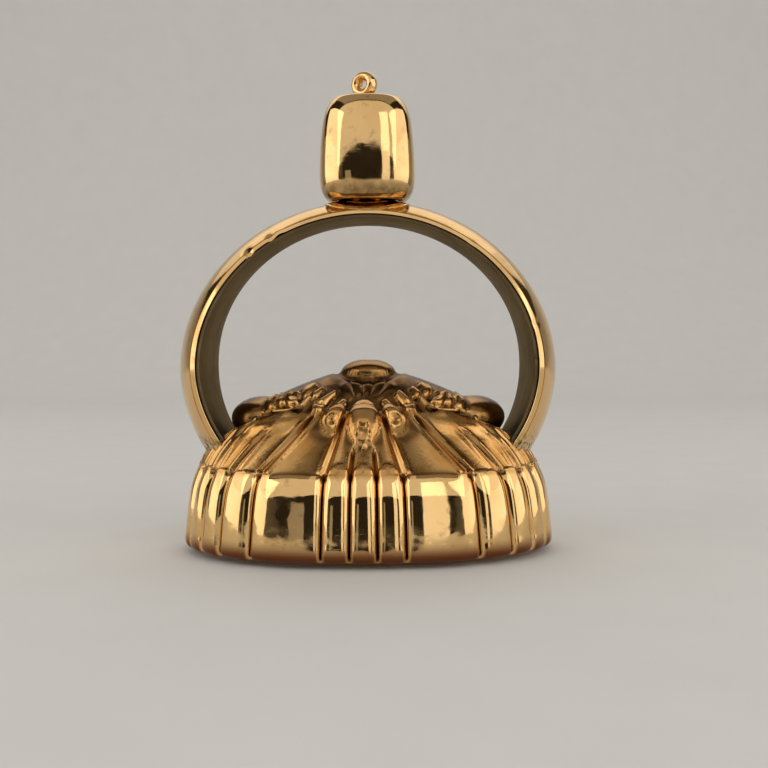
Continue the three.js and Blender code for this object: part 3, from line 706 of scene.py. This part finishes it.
def saddle_ring(share, angles, crest):
    """A ring of the collar's plan laid on the arch, no higher than its crest."""
    ring = ring_of(COLLAR_A * share, COLLAR_B * share, 0, angles, COLLAR_ROUNDNESS)
    ring[:, 2] = np.minimum(arch_top(ring[:, 0], ring[:, 1]), crest)
    return ring


def build_collar():
    """The low flared foot that sits astride the arch, under the knop."""
    angles = even_angles(TURNED_SPOKES)
    crest = float(arch_top(0.0, 0.0))
    top = KNOP_FOOT - SEAM
    rings = [point_ring(0, 0, crest - 0.1, angles)]
    for share, height in COLLAR_FOOT:
        ring = saddle_ring(share, angles, crest)
        ring[:, 2] += height
        rings.append(ring)
    for share, way in COLLAR_NECK:
        ring = saddle_ring(share, angles, crest)
        ring[:, 2] += NECK_START + (top - ring[:, 2] - NECK_START) * way
        rings.append(ring)
    rings.append(point_ring(0, 0, top, angles))
    return loft("collar", rings)


EYE_SPOKES = 40
# Stem: radius and height, from its wide foot inside the knop up to the ring. The heights
# start STEM_ZERO under the knop's top.
STEM_ZERO = 0.1
STEM_ROWS = [(0.52, -0.948), (0.52, -0.718), (0.3, -0.698), (0.3, -0.1), (0.33, 0.02),
             (0.45, 0.1), (0.5, 0.18)]
STEM_TOP = (0.42, EYE_Z - EYE_RING + 0.05)


def build_eye():
    """The ring, deepened and turned about its stem, joined to the stem."""
    bpy.ops.object.select_all(action="DESELECT")
    bpy.ops.mesh.primitive_torus_add(
        major_radius=EYE_RING * MM, minor_radius=EYE_WIRE * MM, major_segments=72,
        minor_segments=32, location=(EYE_X * MM, 0, EYE_Z * MM), rotation=(math.pi / 2, 0, 0))
    eye = bpy.context.object
    eye.name = eye.data.name = "hanging_eye"
    bpy.ops.object.transform_apply(location=True, rotation=True, scale=True)
    at = np.empty(len(eye.data.vertices) * 3)
    eye.data.vertices.foreach_get("co", at)
    at = at.reshape(-1, 3) / MM
    x, y = at[:, 0] - EYE_X, at[:, 1] * EYE_DEPTH
    c, s = math.cos(EYE_TURN), math.sin(EYE_TURN)
    at[:, 0], at[:, 1] = EYE_X + x * c - y * s, x * s + y * c
    eye.data.vertices.foreach_set("co", (at * MM).ravel())
    angles = even_angles(EYE_SPOKES)
    start = KNOP_FOOT + KNOP_TOP - STEM_ZERO
    rows = [(r, start + z) for r, z in STEM_ROWS] + [STEM_TOP]
    rings = [point_ring(EYE_X, 0, rows[0][1], angles)]
    for r, z in rows:
        ring = ring_of(r, r, z, angles, 2)
        ring[:, 0] += EYE_X
        rings.append(ring)
    rings.append(point_ring(EYE_X, 0, rows[-1][1], angles))
    stem = loft("stem", rings)
    apply_modifier(eye, "BOOLEAN", operation="UNION", object=stem, solver="EXACT")
    bpy.data.objects.remove(stem, do_unlink=True)
    return eye


# ---- stone and its setting ----

# Stone: how far in from its widest outline, and height.
STONE_ROWS = [(0.62, 0.0), (0.5, 0.0), (0.46, 0.015), (0.04, 0.44), (0.0, 0.5), (0, 0.9),
              (0, 1.6), (0, STONE_TOP - 0.05), (0.05, STONE_TOP), (1.5, STONE_TOP)]
# Setting: how far out from the stone's outline, and height, round its section.
BEZEL_OUTLINE = [
    (0.06, 2.24), (0.06, 0.5), (0.02, 0.42), (-0.08, 0.34), (-0.14, 0.27), (-0.14, 0.19),
    (-0.1, 0.14), (-0.02, 0.12), (0.18, 0.13), (0.34, 0.16), (0.44, 0.22), (0.48, 0.3),
    (0.5, 0.42), (1.1, 0.42), (1.2, 0.46), (1.22, 0.54), (1.22, 0.76), (1.18, 0.8),
    (0.48, 0.8), (0.48, 2.24), (0.06, 2.24),
]


def build_stone():
    angles = even_angles(160)
    rings = [point_ring(0, 0, 0, angles)]
    for inset, z in STONE_ROWS:
        rings.append(ring_of(STONE_A - inset, STONE_B - inset, z, angles, PLAN_ROUNDNESS))
    rings.append(point_ring(0, 0, STONE_TOP, angles))
    return loft("seal_gem", rings)


def build_bezel():
    angles = even_angles(240)
    rings = [ring_of(STONE_A + out, STONE_B + out, z, angles, PLAN_ROUNDNESS)
             for out, z in BEZEL_OUTLINE]
    return loft("gem_setting", rings)


# ---- finishes ----

class Finish:
    """A material's node tree, built node by node."""

    def __init__(self, name):
        self.material = bpy.data.materials.new(name)
        self.material.use_nodes = True
        self.nodes = self.material.node_tree.nodes
        self.links = self.material.node_tree.links
        self.shader = self.nodes["Principled BSDF"]
        self.place = self.nodes.new("ShaderNodeTexCoord").outputs["Object"]

    def wire(self, source, target):
        self.links.new(source, target)

    def noise(self, size, detail=3.0, rough=0.5, stretch=None, distort=0.0):
        """Noise whose patches are about size millimetres across."""
        node = self.nodes.new("ShaderNodeTexNoise")
        node.inputs["Scale"].default_value = 1 / (size * MM)
        node.inputs["Detail"].default_value = detail
        node.inputs["Roughness"].default_value = rough
        node.inputs["Distortion"].default_value = distort
        place = self.place
        if stretch:
            mapping = self.nodes.new("ShaderNodeMapping")
            mapping.inputs["Scale"].default_value = stretch[0]
            mapping.inputs["Rotation"].default_value = stretch[1]
            self.wire(place, mapping.inputs["Vector"])
            place = mapping.outputs["Vector"]
        self.wire(place, node.inputs["Vector"])
        return node.outputs["Fac"]

    def spread(self, source, low, high, to_low=0.0, to_high=1.0):
        """The source from low to high, spread smoothly from to_low to to_high."""
        node = self.nodes.new("ShaderNodeMapRange")
        node.interpolation_type = "SMOOTHSTEP"
        values = {"From Min": low, "From Max": high, "To Min": to_low, "To Max": to_high}
        for socket, value in values.items():
            node.inputs[socket].default_value = value
        self.wire(source, node.inputs["Value"])
        return node.outputs["Result"]

    def math(self, operation, a, b):
        node = self.nodes.new("ShaderNodeMath")
        node.operation = operation
        for socket, value in zip(node.inputs, (a, b)):
            if isinstance(value, (int, float)):
                socket.default_value = value
            else:
                self.wire(value, socket)
        return node.outputs[0]

    def mix(self, share, a, b):
        """Colour a where share is 0 and colour b where it is 1."""
        node = self.nodes.new("ShaderNodeMix")
        node.data_type = "RGBA"
        sockets = (node.inputs["Factor"], node.inputs[6], node.inputs[7])
        for socket, value in zip(sockets, (share, a, b)):
            if isinstance(value, tuple):
                socket.default_value = (*value, 1)
            elif isinstance(value, (int, float)):
                socket.default_value = value
            else:
                self.wire(value, socket)
        return node.outputs[2]

    def scaled(self, source, factor):
        return self.math("MULTIPLY", source, factor)

    def attribute(self, name):
        node = self.nodes.new("ShaderNodeAttribute")
        node.attribute_name = name
        return node.outputs["Fac"]

    def bump(self, heights):
        """Bumps in turn; each is (height source, depth in millimetres, strength)."""
        normal = None
        for source, depth, strength in heights:
            node = self.nodes.new("ShaderNodeBump")
            node.inputs["Distance"].default_value = depth * MM
            node.inputs["Strength"].default_value = strength
            self.wire(source, node.inputs["Height"])
            if normal:
                self.wire(normal, node.inputs["Normal"])
            normal = node.outputs["Normal"]
        self.wire(normal, self.shader.inputs["Normal"])


GOLD = (0.84, 0.56, 0.25)
GOLD_DEEP = (0.72, 0.42, 0.16)
# Painted shade: a darker, browner gold for the top of the cap above the skirt.
SHADED_SATIN_GOLD = (0.51, 0.25, 0.068)
# Dark tarnish, also the colour of the painted shade.
TARNISH_AND_SHADE = (0.1, 0.045, 0.014)
# Painted shade: a darker reddish colour at the foot of the skirt.
RIM_SHADE = (0.17, 0.042, 0.016)
VERDIGRIS = (0.05, 0.09, 0.045)
LINER_GOLD = (0.17, 0.12, 0.065)
LINER_DARK = (0.06, 0.045, 0.028)
LINER_EDGE_TINT = (0.62, 0.55, 0.44, 1)
CARNELIAN_DARK, CARNELIAN_LIGHT = (0.36, 0.045, 0.012), (0.62, 0.13, 0.03)
CARNELIAN_SPECKS = (0.16, 0.02, 0.008)
PITCH_DARK, PITCH_LIGHT = (0.03, 0.018, 0.012), (0.09, 0.05, 0.03)
PAPER_DARK, PAPER_LIGHT = (0.80, 0.80, 0.79), (0.85, 0.85, 0.84)

# Scale and turn of the noise that draws the fine scratches, each way.
SCRATCHES_UP = ((1, 1, 8), (0.3, 0.5, 0.2))
SCRATCHES_ACROSS = ((8, 1, 1), (0.1, 0.9, 0.4))


def gold(name, polish, relief=False, green_at=None, shade_below=None, worn=1.0,
         colours=(GOLD, GOLD_DEEP)):
    """Warm low-carat gold, handled smooth, with fine scratches and dark hollows, the hollows
    tarnish and painted shade. The polish is its least roughness. It is green below one height and
    darkened by painted shade in patches below another, each given as (full, none), and with relief
    it reads the cap's marks."""
    finish = Finish(name)
    finish.shader.inputs["Metallic"].default_value = 1
    patches = finish.spread(finish.noise(2.4, detail=4), 0.35, 0.7)
    colour = finish.mix(finish.scaled(patches, 0.45), *colours)
    stain_and_shade = finish.spread(finish.noise(0.9, detail=5, rough=0.62), 0.56, 0.78, 0, 0.4 * worn)
    cloudy = finish.noise(1.1, detail=5, rough=0.6)
    rough = finish.spread(cloudy, 0.3, 0.75, polish, polish + 0.07)
    if relief:
        rough, colour, stain_and_shade = add_cap_finish_and_shade(finish, rough, colour, stain_and_shade)
    # Painted shade: patches of darker colour low on the piece.
    if shade_below:
        cloudy = finish.spread(finish.noise(0.7, detail=4), 0.3, 0.65, 0.35, 0.8)
        low_shade = finish.math("MULTIPLY", below(finish, shade_below), cloudy)
        stain_and_shade = finish.math("MAXIMUM", stain_and_shade, low_shade)
    # Random tarnish patches and, from the marks and the low patches, painted shade, all in one
    # dark colour.
    colour = finish.mix(stain_and_shade, colour, TARNISH_AND_SHADE)
    if green_at:
        rough, colour = add_verdigris(finish, rough, colour, green_at)
    finish.wire(colour, finish.shader.inputs["Base Color"])
    finish.wire(rough, finish.shader.inputs["Roughness"])
    waves = finish.noise(1.9, detail=2)
    fine = finish.noise(0.22, detail=2)
    scratches = finish.spread(finish.noise(0.6, detail=2, stretch=SCRATCHES_UP), 0.6, 0.75)
    marks = finish.spread(finish.noise(0.6, detail=2, stretch=SCRATCHES_ACROSS), 0.62, 0.75)
    bumps = [(waves, 0.05, 0.5), (fine, 0.002, 0.25), (scratches, 0.001, 0.3), (marks, 0.001, 0.3)]
    if relief:
        peel = finish.math("SUBTRACT", finish.noise(0.2, detail=3), 0.5)
        bumps.append((finish.math("MULTIPLY", peel, finish.attribute("satin")), 0.02, 0.5))
    finish.bump(bumps)
    return finish.material


def add_cap_finish_and_shade(finish, rough, colour, stain_and_shade):
    """Tarnish and painted shade in the hollows, a satin finish with painted shade above the skirt,
    painted shade on the crown's ground and slopes, and painted darker reddish shade at the rim,
    from the marks on the cap's mesh.
    """
    hollow_tarnish_and_shade = finish.spread(finish.attribute("hollow_tarnish_and_shade"), 0.15, 1.0)
    satin = finish.attribute("satin")
    # Tarnish and painted shade darken the hollows.
    stain_and_shade = finish.math("MAXIMUM", stain_and_shade, finish.scaled(hollow_tarnish_and_shade, 0.84))
    # Painted shade on the crown's ground, end lumps, slopes and dome top, in patches.
    patch = finish.spread(finish.noise(1.3, detail=4), 0.3, 0.6, 0.6, 0.95)
    painted_shade = finish.math("MULTIPLY", finish.attribute("painted_shade"), patch)
    stain_and_shade = finish.math("MAXIMUM", stain_and_shade, painted_shade)
    rough = finish.math("ADD", rough, finish.scaled(hollow_tarnish_and_shade, 0.15))
    rough = finish.math("ADD", rough, finish.scaled(satin, 0.15))
    cloudy = finish.spread(finish.noise(1.6, detail=4), 0.3, 0.7, 0.55, 0.95)
    # Painted shade: the satin part above the skirt is given a darker, browner colour.
    colour = finish.mix(finish.math("MULTIPLY", satin, cloudy), colour, SHADED_SATIN_GOLD)
    return rough, finish.mix(finish.attribute("rim_shade"), colour, RIM_SHADE), stain_and_shade


def below(finish, heights):
    """1 up to the lower height, 0 from the upper one."""
    split = finish.nodes.new("ShaderNodeSeparateXYZ")
    finish.wire(finish.place, split.inputs[0])
    return finish.spread(split.outputs["Z"], heights[0] * MM, heights[1] * MM, 1, 0)


def add_verdigris(finish, rough, colour, heights):
    """Dull green where the arch's feet meet the cap."""
    speckle = finish.spread(finish.noise(0.35, detail=5, rough=0.7), 0.42, 0.62)
    share = finish.math("MULTIPLY", below(finish, heights), speckle)
    colour = finish.mix(share, colour, VERDIGRIS)
    return finish.math("ADD", rough, finish.scaled(share, 0.35)), colour


def carnelian(name):
    """Banded orange-red stone, a little translucent."""
    finish = Finish(name)
    bands = finish.noise(3.5, detail=5, distort=0.8, stretch=((1, 2.2, 1), (0, 0, 0.5)))
    cloud = finish.spread(bands, 0.35, 0.68)
    specks = finish.spread(finish.noise(0.5, detail=4), 0.55, 0.8)
    colour = finish.mix(cloud, CARNELIAN_DARK, CARNELIAN_LIGHT)
    colour = finish.mix(finish.scaled(specks, 0.35), colour, CARNELIAN_SPECKS)
    finish.wire(colour, finish.shader.inputs["Base Color"])
    finish.shader.inputs["IOR"].default_value = 1.54
    finish.shader.inputs["Subsurface Weight"].default_value = 0.25
    finish.shader.inputs["Subsurface Radius"].default_value = (1.0, 0.25, 0.1)
    finish.shader.inputs["Subsurface Scale"].default_value = 0.0012
    rough = finish.spread(finish.noise(0.7, detail=5), 0.4, 0.75, 0.07, 0.2)
    finish.wire(rough, finish.shader.inputs["Roughness"])
    finish.bump([(finish.noise(0.4, detail=4), 0.002, 0.2)])
    return finish.material


def pitch(name):
    """Dull dark filler."""
    finish = Finish(name)
    colour = finish.mix(finish.noise(0.8, detail=5), PITCH_DARK, PITCH_LIGHT)
    finish.wire(colour, finish.shader.inputs["Base Color"])
    rough = finish.spread(finish.noise(0.6), 0.3, 0.7, 0.55, 0.9)
    finish.wire(rough, finish.shader.inputs["Roughness"])
    finish.bump([(finish.noise(0.5, detail=5), 0.05, 0.5)])
    return finish.material


def paper(name):
    """Pale paper for the floor."""
    finish = Finish(name)
    colour = finish.mix(finish.noise(6, detail=4), PAPER_DARK, PAPER_LIGHT)
    finish.wire(colour, finish.shader.inputs["Base Color"])
    finish.shader.inputs["Roughness"].default_value = 0.9
    return finish.material


def dress(piece, material, body, node, angle=50):
    """Give a piece its finish and its body, shade it smooth, and hide the CAD node it stands for.
    """
    piece.data.materials.clear()
    piece.data.materials.append(material)
    smooth(piece, angle)
    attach(piece, body)
    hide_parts(node)


def repaint(node, material):
    """Give a CAD node that is carried over its finish."""
    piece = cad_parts[node]
    for k in range(len(piece.data.materials)):
        piece.data.materials[k] = material
    if not piece.data.materials:
        piece.data.materials.append(material)


# ---- studio ----

# Floor, in metres: edges in front and behind, width, radius of the sweep and wall over it.
FLOOR_FRONT, FLOOR_BACK, FLOOR_WIDTH = -0.9, 0.22, 1.2
SWEEP_RADIUS, SWEEP_STEPS, WALL_RISE = 0.12, 16, 0.12


def build_studio():
    """A pale sheet that sweeps up into a wall behind and at both sides, open in front."""
    bpy.ops.object.select_all(action="DESELECT")
    bpy.ops.mesh.primitive_plane_add(size=1)
    floor = bpy.context.object
    floor.name = "floor"
    set_mode("EDIT")
    bpy.ops.mesh.select_all(action="SELECT")
    bpy.ops.transform.resize(value=(FLOOR_WIDTH, 1, 1))
    set_mode("OBJECT")
    for vertex in floor.data.vertices:
        vertex.co.y = FLOOR_FRONT if vertex.co.y < 0 else FLOOR_BACK
        vertex.select = vertex.co.y > 0
    for edge in floor.data.edges:
        edge.select = all(floor.data.vertices[k].co.y > 0 for k in edge.vertices)
    set_mode("EDIT")
    for k in range(SWEEP_STEPS):
        a, b = math.pi / 2 * k / SWEEP_STEPS, math.pi / 2 * (k + 1) / SWEEP_STEPS
        move = (0, SWEEP_RADIUS * (math.sin(b) - math.sin(a)),
                SWEEP_RADIUS * (math.cos(a) - math.cos(b)))
        bpy.ops.mesh.extrude_edges_move(TRANSFORM_OT_translate={"value": move})
    bpy.ops.mesh.extrude_edges_move(TRANSFORM_OT_translate={"value": (0, 0, WALL_RISE)})
    bpy.ops.mesh.select_all(action="DESELECT")
    set_mode("OBJECT")
    # The front edge was raised with the others, and its wall is taken away again.
    for face in floor.data.polygons:
        face.select = face.center.y < -0.6 and face.center.z > 0.001
    set_mode("EDIT")
    bpy.ops.mesh.delete(type="FACE")
    set_mode("OBJECT")
    smooth(floor, 60)
    floor.data.materials.append(paper("pale_paper"))


WARM = (1, 0.96, 0.9)
AIM = np.array([0, 0, 0.014])

# Soft boxes: azimuth from the front (0 degrees) round to the seal's right (90), elevation,
# distance from the seal, width and height in metres, and the brightness of its face.
SOFT_BOXES = {
    "right_box": (25, 16, 0.34, 0.096, 0.26, 1.05),
    "far_right_box": (75, 18, 0.34, 0.41, 0.28, 1.15),
    "left_strip": (-25, 4, 0.34, 0.07, 0.075, 0.32),
    "left_box": (-77, 18, 0.34, 0.39, 0.28, 1.3),
    "front_box": (0, 40, 0.34, 0.8, 0.245, 0.74),
    "top_box": (180, 80, 0.4, 0.6, 0.62, 0.28),
    "back_box": (180, 48, 0.5, 0.9, 0.34, 0.8),
}


def soft_box(name, azimuth, elevation, away, width, height, glow):
    """A soft box that faces the seal."""
    turn, lift = math.radians(azimuth), math.radians(elevation)
    towards = np.array([math.sin(turn) * math.cos(lift), -math.cos(turn) * math.cos(lift),
                        math.sin(lift)])
    lamp = bpy.data.lights.new(name, "AREA")
    lamp.shape = "RECTANGLE"
    lamp.size, lamp.size_y = width, height
    lamp.energy = glow * math.pi * width * height
    lamp.color = WARM
    holder = bpy.data.objects.new(name, lamp)
    bpy.context.scene.collection.objects.link(holder)
    holder.location = AIM + towards * away
    holder.rotation_euler = Vector(-towards).to_track_quat("-Z", "Y").to_euler()


def build_light():
    world = bpy.data.worlds.new("room")
    bpy.context.scene.world = world
    world.use_nodes = True
    background = world.node_tree.nodes["Background"]
    background.inputs["Color"].default_value = (1.0, 0.88, 0.72, 1)
    background.inputs["Strength"].default_value = 0.025
    for name, place in SOFT_BOXES.items():
        soft_box(name, *place)


# The photograph's camera: sensor width, picture width and focal length in pixels, then
# its place in metres, and how far it looks down and leans, in degrees.
SENSOR, PICTURE_PIXELS, FOCAL_PIXELS = 36, 768, 964.8
CAMERA_PLACE = (0.0011, -0.067, 0.01297)
CAMERA_DOWN, CAMERA_LEAN = 1.43, 0.25


def build_camera():
    camera = bpy.data.cameras.new("camera")
    camera.sensor_width = SENSOR
    camera.lens = SENSOR * FOCAL_PIXELS / PICTURE_PIXELS
    camera.clip_start, camera.clip_end = 0.002, 10
    holder = bpy.data.objects.new("camera", camera)
    bpy.context.scene.collection.objects.link(holder)
    holder.location = CAMERA_PLACE
    holder.rotation_euler = (math.radians(90 - CAMERA_DOWN), math.radians(CAMERA_LEAN), 0)
    bpy.context.scene.camera = holder


# ---- assembly ----

bright_gold = gold("polished_gold", 0.05)
# Painted shade darkens the knop's foot, over the arch.
knop_gold = gold("knop_gold", 0.04, shade_below=(24.2, 25.5))
cap_gold = gold("chased_gold", 0.03, relief=True)
arch_gold = gold("arch_gold", 0.08, green_at=(7.2, 8.4))
liner_gold = gold("liner_gold", 0.42, green_at=(7.4, 8.8), worn=1.4,
                  colours=(LINER_GOLD, LINER_DARK))
liner_shader = liner_gold.node_tree.nodes["Principled BSDF"]
liner_shader.inputs["Specular Tint"].default_value = LINER_EDGE_TINT
plain_gold = gold("plain_gold", 0.32, worn=1.3)

cap, cap_base = build_cap()
dress(cap, cap_gold, "seal", "cap_shell", 60)
shell, liner = build_arch(cap_base)
dress(shell, arch_gold, "seal", "handle_shell", 40)
dress(liner, liner_gold, "seal", "handle_liner", 40)
dress(build_collar(), bright_gold, "seal", "knop_collar")
dress(build_knop(), knop_gold, "seal", "knop_shell")
dress(build_eye(), bright_gold, "eye", "suspension_eye")
dress(build_stone(), carnelian("carnelian"), "seal", "seal_stone", 25)
dress(build_bezel(), bright_gold, "seal", "stone_bezel", 40)
for hidden in ("back_plate", "knop_rivet", "eye_washer"):
    repaint(hidden, plain_gold)
repaint("filler_core", pitch("pitch"))

build_studio()
build_light()
build_camera()
bpy.context.scene.view_settings.view_transform = "Standard"
